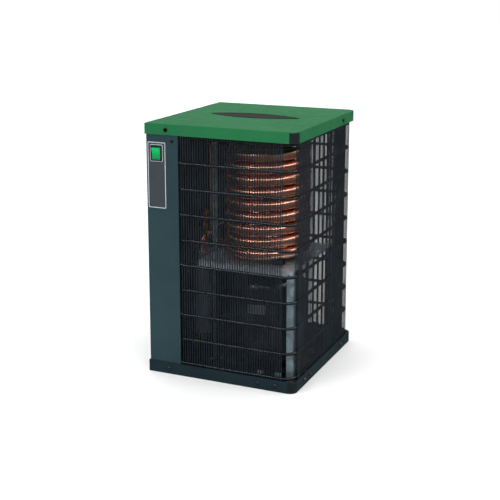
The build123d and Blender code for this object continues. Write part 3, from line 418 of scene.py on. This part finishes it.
# ---------- heat exchanger coil ----------
COIL_TUBE_R = 0.011
COIL_TURNS = 8.75
EVAPORATOR_R = 0.00635
LEAD = 0.048                # straight length of the inner tube beyond each end of the coil
coil_low, coil_high = size("exchanger_coil")
COIL_CENTRE = (coil_low + coil_high) / 2
COIL_R = (coil_high.x - coil_low.x) / 2 - COIL_TUBE_R
COIL_Z = coil_low.z + COIL_TUBE_R
COIL_RISE = coil_high.z - COIL_TUBE_R - COIL_Z


def helix(per_turn, lead):
    """The coil's centre line, with a straight lead at both ends if one is asked for."""
    points = []
    count = round(COIL_TURNS * per_turn)
    for i in range(count + 1):
        angle = math.pi + 2 * math.pi * i / per_turn
        points.append(Vector((COIL_CENTRE.x + COIL_R * math.cos(angle),
                              COIL_CENTRE.y + COIL_R * math.sin(angle),
                              COIL_Z + COIL_RISE * i / count)))
    if lead:
        points.insert(0, points[0] + Vector((0, lead, 0)))
        points.append(points[-1] - Vector((lead, 0, 0)))
    return points


for piece_name, node_name, radius, lead, per_turn, sides in (
        ("coil_tube", "exchanger_coil", COIL_TUBE_R, 0.0, 72, 28),
        ("inner_tube", "evaporator_tube", EVAPORATOR_R, LEAD, 36, 14)):
    bm = bmesh.new()
    sweep(bm, helix(per_turn, lead), radius, sides)
    place(mesh_object(piece_name, bm), "copper", node=node_name, finish="coil_copper")

# ---------- condenser ----------
ROWS = 10
CONDENSER_R = 0.003175
WIRE_R = 0.00072
WIRE_PITCH = 0.0052
BEND_R = 0.022
WELD = 0.00012              # depth that each wire is welded into the tube
tube_low, tube_high = size("condenser_tube")
ROW_LOW = tube_low.z + CONDENSER_R
ROW_PITCH = (tube_high.z - CONDENSER_R - ROW_LOW) / (ROWS - 1)
PLANE_X = tube_high.x - CONDENSER_R
PLANE_Y = tube_high.y - CONDENSER_R
TURN_X = tube_low.x + CONDENSER_R + ROW_PITCH / 2
INLET_R = 0.016
INLET_STUB = 0.006
WIRE_MARGIN = 0.002         # from the tube's straight run to the first wire, or from the bend to the last


def row_points(z):
    """One pass from the front's left end round both corners to the rear's left end."""
    inner_x, inner_y = PLANE_X - BEND_R, PLANE_Y - BEND_R
    out, back, aside = Vector((BEND_R, 0, 0)), Vector((0, BEND_R, 0)), -Vector((0, BEND_R, 0))
    points = [Vector((TURN_X, -PLANE_Y, z))]
    for y_side, first, second in ((-1, aside, out), (1, out, back)):
        points += arc(Vector((inner_x, y_side * inner_y, z)), first, second, 14)
    return points + [Vector((TURN_X, PLANE_Y, z))]


def return_bend(z, y):
    """Inner points of the half turn from a pass at height z up to the next one."""
    centre = Vector((TURN_X, y, z + ROW_PITCH / 2))
    r = ROW_PITCH / 2
    return [centre + Vector((-r * math.sin(t), 0, -r * math.cos(t)))
            for t in (math.pi * i / 16 for i in range(1, 16))]


def serpentine():
    """The whole tube from the bottom end to the top end."""
    end = Vector((TURN_X, PLANE_Y - INLET_R, ROW_LOW))
    inlet = arc(end, -Vector((INLET_R, 0, 0)), Vector((0, INLET_R, 0)), 8)
    entry = [inlet[0] - Vector((0, INLET_STUB, 0))] + inlet[:-1]
    points = list(entry)
    for row in range(ROWS):
        z = ROW_LOW + row * ROW_PITCH
        passing = row_points(z)
        from_rear = row % 2 == 0
        points += reversed(passing) if from_rear else passing
        if row < ROWS - 1:
            points += return_bend(z, -PLANE_Y if from_rear else PLANE_Y)
    rise = Vector((0, 0, (ROWS - 1) * ROW_PITCH))
    return points + [p + rise for p in reversed(entry)]


bm = bmesh.new()
sweep(bm, serpentine(), CONDENSER_R, 16)
place(mesh_object("condenser_serpentine", bm), "condenser_black", node="condenser_tube",
      finish="tube_enamel")


def wire_lines():
    """Plan place of every wire, with its outward direction and the direction along the tube."""
    offset = CONDENSER_R + WIRE_R - WELD
    along_front = int((PLANE_X - BEND_R - TURN_X + WIRE_MARGIN) / WIRE_PITCH) + 1
    along_side = int(2 * (PLANE_Y - BEND_R + WIRE_MARGIN) / WIRE_PITCH) + 1
    for way in (-1, 1):
        for i in range(along_front):
            x = TURN_X - WIRE_MARGIN + i * WIRE_PITCH
            for y_side in (-1, 1):
                yield Vector((x, y_side * PLANE_Y + way * offset, 0)), Vector((0, way, 0)), Vector((1, 0, 0))
        for i in range(along_side):
            y = (i - (along_side - 1) / 2) * WIRE_PITCH
            yield Vector((PLANE_X + way * offset, y, 0)), Vector((way, 0, 0)), Vector((0, 1, 0))


NUGGET_HALF_WIDTH = 0.00125
NUGGET_HALF_HEIGHT = 0.0017
NUGGET_RINGS = ((-0.0006, 0.75), (0.0001, 1.0), (0.0007, 0.7))     # height, share of its full outline
NUGGET_DEPTH = 0.0006       # its middle, below the wire's centre line
WIRE_SLACK = 0.00022        # how far a wire strays sideways
WIRE_SPANS = 3              # lengths between the places where it does


def nugget(bm, centre, outward, along):
    """The squeezed-out metal of one spot weld, a low oval between wire and tube."""
    up = Vector((0, 0, 1))
    rings = []
    for height, spread in NUGGET_RINGS:
        rings.append([bm.verts.new(centre + outward * height
                                   + along * (math.cos(a) * NUGGET_HALF_WIDTH * spread)
                                   + up * (math.sin(a) * NUGGET_HALF_HEIGHT * spread))
                      for a in (math.pi / 4 * k for k in range(8))])
    for low, high in zip(rings, rings[1:]):
        strip(bm, low, high)
    cap_ends(bm, rings)


rng = random.Random(7)
wire_bottom, wire_top = size("condenser_wires")
wires = bmesh.new()
welds = bmesh.new()
z0 = wire_bottom.z
span = wire_top.z - z0
for foot, outward, along in wire_lines():
    slack = [along * rng.uniform(-WIRE_SLACK, WIRE_SLACK) for _ in range(WIRE_SPANS + 1)]
    line = [foot + Vector((0, 0, z0 + span * i / WIRE_SPANS)) + slack[i] for i in range(WIRE_SPANS + 1)]
    sweep(wires, line, WIRE_R, 10)
    for row in range(ROWS):
        z = ROW_LOW + row * ROW_PITCH
        share = (z - z0) / span * WIRE_SPANS
        i = min(int(share), WIRE_SPANS - 1)
        drift = slack[i].lerp(slack[i + 1], share - i)
        nugget(welds, foot + drift - outward * NUGGET_DEPTH + Vector((0, 0, z)), outward, along)
bmesh.ops.recalc_face_normals(wires, faces=wires.faces)
bmesh.ops.recalc_face_normals(welds, faces=welds.faces)
place(mesh_object("condenser_wire_grid", wires, 60.0), "condenser_black", node="condenser_wires")
place(mesh_object("condenser_spot_welds", welds, 60.0), "condenser_black")


# ---------- printed lines and badge ----------
CORNER_STEPS = 6
INK = 0.00006               # thickness of the printed lines
LABEL_FACE = size("label_plate")[0].y


def rounded_loop(x0, x1, z0, z1, corner, y):
    """Points of a rounded rectangle that faces the front."""
    points = []
    for cx, cz, start in ((x1 - corner, z1 - corner, 0), (x0 + corner, z1 - corner, 90),
                          (x0 + corner, z0 + corner, 180), (x1 - corner, z0 + corner, 270)):
        for i in range(CORNER_STEPS + 1):
            a = math.radians(start + 90 * i / CORNER_STEPS)
            points.append(Vector((cx + corner * math.cos(a), y, cz + corner * math.sin(a))))
    return points


def line_frame(name, around, outset, width, corner):
    """A printed border on the label, outset from a box's outline: a closed, very thin raised band."""
    low, high = around
    x0, x1, z0, z1 = low.x - outset, high.x + outset, low.z - outset, high.z + outset
    bm = bmesh.new()
    loops = []
    for inset, depth in ((0.0, 0.0), (0.0, INK), (width, INK), (width, 0.0)):
        loops.append([bm.verts.new(p) for p in rounded_loop(
            x0 + inset, x1 - inset, z0 + inset, z1 - inset, corner - inset * 0.6, LABEL_FACE - depth)])
    for low, high in zip(loops, loops[1:] + loops[:1]):
        strip(bm, low, high)
    bmesh.ops.recalc_face_normals(bm, faces=bm.faces)
    return place(mesh_object(name, bm), "label_film", finish="silver_line")


line_frame("label_border", size("label_plate"), outset=-0.0011, width=0.0014, corner=0.0022)
line_frame("switch_border", size("power_switch_body"), outset=0.0014, width=0.0013, corner=0.0026)


LENS_STEPS = 28
# outline's share of the length and of the width, and height under the plate's top, for the raised rim
BADGE_RIM = ((1.0, 1.0, 0.0004), (0.992, 0.975, 0.0), (0.955, 0.89, 0.0), (0.945, 0.865, 0.0005))


def lens_outline(length, width):
    """A lens between two equal arcs, with points at both ends."""
    arc_r = (length ** 2 / 4 + width ** 2 / 4) / width
    half = math.asin(length / 2 / arc_r)
    upper = [(arc_r * math.sin(t), arc_r * math.cos(t) - arc_r + width / 2)
             for t in (-half + 2 * half * i / LENS_STEPS for i in range(LENS_STEPS))]
    return upper + [(-x, -y) for x, y in upper]


def badge():
    """Black lens-shaped plate with a raised rim, without any marking."""
    low, high = size("lid_badge")
    middle = (low + high) / 2
    outline = lens_outline(high.x - low.x, high.y - low.y)
    levels = [(1.0, 1.0, low.z)] + [(share_x, share_y, high.z - drop) for share_x, share_y, drop in BADGE_RIM]
    bm = bmesh.new()
    loops = []
    for share_x, share_y, z in levels:
        loops.append([bm.verts.new((middle.x + x * share_x, middle.y + y * share_y, z)) for x, y in outline])
    for first, second in zip(loops, loops[1:]):
        strip(bm, first, second)
    bm.faces.new(loops[0])
    bm.faces.new(loops[-1])
    bmesh.ops.recalc_face_normals(bm, faces=bm.faces)
    return place(mesh_object("badge_plate", bm, 25.0), "badge_black", node="lid_badge")


badge()


# ---------- compressor dressing ----------
BEAD_STEPS = 220
BEAD_SIDES = 8
BEAD_REACH = 0.0017         # how far it stands proud of the shell
BEAD_HALF_HEIGHT = 0.0022


def weld_bead():
    """The girth weld where the two halves of the shell lap."""
    low, high = size("compressor_upper_shell")
    centre = (low + high) / 2
    lower_high = size("compressor_lower_shell")[1]
    reach = min(high.x - centre.x, lower_high.x - centre.x)
    seam = Vector((centre.x, centre.y, low.z))
    bead_rng = random.Random(11)
    bm = bmesh.new()
    rings = []
    for i in range(BEAD_STEPS):
        a = 2 * math.pi * i / BEAD_STEPS
        ripple = 1.0 + 0.12 * math.sin(i * 2.1) + bead_rng.uniform(-0.05, 0.05)
        out = Vector((math.cos(a), math.sin(a), 0))
        ring = []
        for k in range(BEAD_SIDES):
            b = 2 * math.pi * k / BEAD_SIDES
            proud = reach + math.cos(b) * BEAD_REACH * ripple
            rise = math.sin(b) * BEAD_HALF_HEIGHT * ripple
            ring.append(bm.verts.new(seam + out * proud + Vector((0, 0, rise))))
        rings.append(ring)
    for first, second in zip(rings, rings[1:] + rings[:1]):
        strip(bm, first, second)
    bmesh.ops.recalc_face_normals(bm, faces=bm.faces)
    return place(mesh_object("compressor_weld_bead", bm, 60.0), "compressor_black")


weld_bead()


PLATE_WIDTH = 0.038
PLATE_HEIGHT = 0.019
PLATE_Z = 0.142
PLATE_AZIMUTH = -84.0       # degrees from +X, seen from above
PLATE_THICK = 0.0004
PLATE_CORNER = 0.0015       # cut off each corner
PLATE_STEPS = 16


def rating_plate():
    """A blank plate that follows the shell's curve."""
    low, high = size("compressor_upper_shell")
    centre = (low + high) / 2
    radius = (high.x - low.x) / 2
    outer = radius + PLATE_THICK
    half = PLATE_WIDTH / 2 / radius
    bm = bmesh.new()
    rows = []
    for reach, side in ((radius, -1), (outer, -1), (outer, 1), (radius, 1)):
        rows.append([])
        for i in range(PLATE_STEPS + 1):
            a = math.radians(PLATE_AZIMUTH) + half * (2.0 * i / PLATE_STEPS - 1.0)
            trim = PLATE_CORNER if i in (0, PLATE_STEPS) else 0.0
            rows[-1].append(bm.verts.new((centre.x + reach * math.cos(a), centre.y + reach * math.sin(a),
                                          PLATE_Z + side * (PLATE_HEIGHT / 2 - trim))))
    for first, second in zip(rows, rows[1:] + rows[:1]):
        for i in range(PLATE_STEPS):
            bm.faces.new((first[i], first[i + 1], second[i + 1], second[i]))
    for i in (0, PLATE_STEPS):
        bm.faces.new([row[i] for row in rows])
    bmesh.ops.recalc_face_normals(bm, faces=bm.faces)
    place(mesh_object("compressor_plate", bm), "aluminium")


rating_plate()


# ---------- brazed joints and cable ties ----------
COLLAR_STEPS = 32
PROFILE_STEPS = 6


def collar(bm, centre, axis, radius, bulge, half):
    """A closed ring with a rounded outside, round a tube of a radius that runs along axis."""
    side = axis.orthogonal().normalized()
    other = axis.cross(side)
    profile = [(half * math.cos(t), bulge * math.sin(t))
               for t in (math.pi * k / PROFILE_STEPS for k in range(PROFILE_STEPS + 1))]
    rings = []
    for i in range(COLLAR_STEPS):
        a = 2 * math.pi * i / COLLAR_STEPS
        out = side * math.cos(a) + other * math.sin(a)
        rings.append([bm.verts.new(centre + axis * along + out * (radius + swell))
                      for along, swell in profile])
    for first, second in zip(rings, rings[1:] + rings[:1]):
        strip(bm, first, second)


TEE_LENGTH = 0.036
BRANCH_REACH = 0.020        # from a tee's middle to the mouth of its branch
AIR_PIPE_R = 0.008
COIL_ENTRY = 0.001          # from the coil's end to the start of each tee
BRAZE_HALF = 0.0016         # half the width of a ring of filler metal
HARNESS_R = 0.0035
HARNESS_X = -0.145
TIE_HEIGHTS = (0.34, 0.25, 0.16)
TIE_HEAD = (0.0046, 0.0034, 0.0044)


def braze_fillets():
    """The rings of filler metal where the coil, the inner tube and the air pipes enter each tee."""
    bm = bmesh.new()
    x, y = COIL_CENTRE.x, COIL_CENTRE.y
    for start, way, branch in (
            (Vector((x - COIL_R, y + COIL_ENTRY, COIL_Z)), Vector((0, 1, 0)), Vector((-1, 0, 0))),
            (Vector((x - COIL_ENTRY, y + COIL_R, COIL_Z + COIL_RISE)), Vector((-1, 0, 0)),
             Vector((0, 1, 0)))):
        mouth = start + way * (TEE_LENGTH / 2) + branch * BRANCH_REACH
        collar(bm, start, way, COIL_TUBE_R, 0.0011, BRAZE_HALF)
        collar(bm, start + way * TEE_LENGTH, way, EVAPORATOR_R, 0.0010, BRAZE_HALF)
        collar(bm, mouth, branch, AIR_PIPE_R, 0.0022, BRAZE_HALF)
    bmesh.ops.recalc_face_normals(bm, faces=bm.faces)
    place(mesh_object("braze_fillets", bm, 60.0), "brass")


def cable_ties():
    """Nylon ties round the harness, each with its square head."""
    bm = bmesh.new()
    for z in TIE_HEIGHTS:
        lean = (z - 0.12) / 0.28        # the lead leans 4 mm forwards from z 0.12 to z 0.40
        centre = Vector((HARNESS_X, -0.096 - 0.004 * lean, z))
        collar(bm, centre, Vector((0, 0, 1)), HARNESS_R, 0.0009, 0.0018)
        head = bmesh.ops.create_cube(bm, size=1.0)["verts"]
        bmesh.ops.scale(bm, verts=head, vec=TIE_HEAD)
        bmesh.ops.translate(bm, verts=head, vec=centre + Vector((0, HARNESS_R + 0.0016, 0)))
    bmesh.ops.recalc_face_normals(bm, faces=bm.faces)
    place(mesh_object("cable_ties", bm, 60.0), "black_plastic")


braze_fillets()
cable_ties()


# ---------- stage, light and camera ----------
FLOOR_HALF = 12.0
LIGHTS = (                  # name, place, what it points at, width, height, watts
    ("front_left", (-1.3, -2.5, 2.0), (0, 0, 0.3), 1.2, 0.2, 20.0),
    ("front_right", (1.9, -2.0, 2.2), (0.1, 0, 0.3), 0.8, 0.2, 8.0),
    ("right", (2.8, 0.5, 2.2), (0.1, 0, 0.3), 0.2, 0.9, 6.0))


def stage_floor():
    bm = bmesh.new()
    bmesh.ops.create_grid(bm, x_segments=2, y_segments=2, size=FLOOR_HALF)
    floor = mesh_object("floor", bm)
    f = Finish("pale_floor")
    clouds = f.spread(f.noise(scale=3.0), low=0.0, high=1.0)
    f.feed(f.shader.inputs["Base Color"], f.blend(clouds, (0.93, 0.93, 0.93, 1), (0.95, 0.95, 0.95, 1)))
    f.feed(f.shader.inputs["Roughness"], f.spread(f.noise(scale=20.0), low=0.7, high=0.8))
    floor.data.materials.append(f.material)
    floor.visible_glossy = False    # glossy surfaces see the dim surround below the horizon instead


def area_light(name, place_at, target, width, height, power):
    data = bpy.data.lights.new(name, "AREA")
    data.shape = "RECTANGLE"
    data.size, data.size_y, data.energy = width, height, power
    lamp = bpy.data.objects.new(name, data)
    scene.collection.objects.link(lamp)
    lamp.location = place_at
    aim = Vector(target) - Vector(place_at)
    lamp.rotation_euler = aim.to_track_quat("-Z", "Y").to_euler()


stage_floor()
for light in LIGHTS:
    area_light(*light)


RING_LOW = 0.61             # height of the bright ring as a direction's Z
RING_HIGH = 0.69
RING_EDGE = 0.03            # over which it fades out
RING_STRENGTH = 6.5
SURROUND = ((0.0, 0.035), (0.5, 0.05), (RING_LOW - RING_EDGE, 0.06), (RING_LOW, 1.0),
            (RING_HIGH, 1.0), (RING_HIGH + RING_EDGE, 0.09), (1.0, 0.08))


def studio_world():
    """White behind the object, and for its reflections a dim surround with one bright ring of softboxes."""
    world = bpy.data.worlds.new("studio")
    scene.world = world
    world.use_nodes = True
    tree = world.node_tree
    surround = tree.nodes["Background"]
    direction = tree.nodes.new("ShaderNodeTexCoord")
    split = tree.nodes.new("ShaderNodeSeparateXYZ")
    tree.links.new(direction.outputs["Generated"], split.inputs[0])
    height = tree.nodes.new("ShaderNodeValToRGB")
    stops = height.color_ramp.elements
    while len(stops) < len(SURROUND):
        stops.new(0.5)
    for stop, (position, grey) in zip(stops, SURROUND):
        stop.position = position
        stop.color = (grey, grey, grey, 1.0)
    tree.links.new(split.outputs["Z"], height.inputs["Fac"])
    tree.links.new(height.outputs["Color"], surround.inputs["Color"])
    surround.inputs["Strength"].default_value = RING_STRENGTH
    backdrop = tree.nodes.new("ShaderNodeBackground")
    backdrop.inputs["Color"].default_value = (1.0, 1.0, 1.0, 1.0)
    backdrop.inputs["Strength"].default_value = 1.0
    seen = tree.nodes.new("ShaderNodeLightPath")
    mix = tree.nodes.new("ShaderNodeMixShader")
    tree.links.new(seen.outputs["Is Camera Ray"], mix.inputs[0])
    tree.links.new(surround.outputs[0], mix.inputs[1])
    tree.links.new(backdrop.outputs[0], mix.inputs[2])
    tree.links.new(mix.outputs[0], tree.nodes["World Output"].inputs["Surface"])


studio_world()

EYE = Vector((0.8471, -1.9376, 0.8099))     # from the perspective fit
LOOK = Vector((-0.3945, 0.8923, -0.2193)).normalized()
camera_data = bpy.data.cameras.new("camera")
camera_data.sensor_width = 36.0
camera_data.lens = 76.19
camera_data.shift_y = -0.1
camera_data.clip_end = 60.0
camera = bpy.data.objects.new("camera", camera_data)
scene.collection.objects.link(camera)
camera.location = EYE
camera.rotation_euler = LOOK.to_track_quat("-Z", "Y").to_euler()
scene.camera = camera
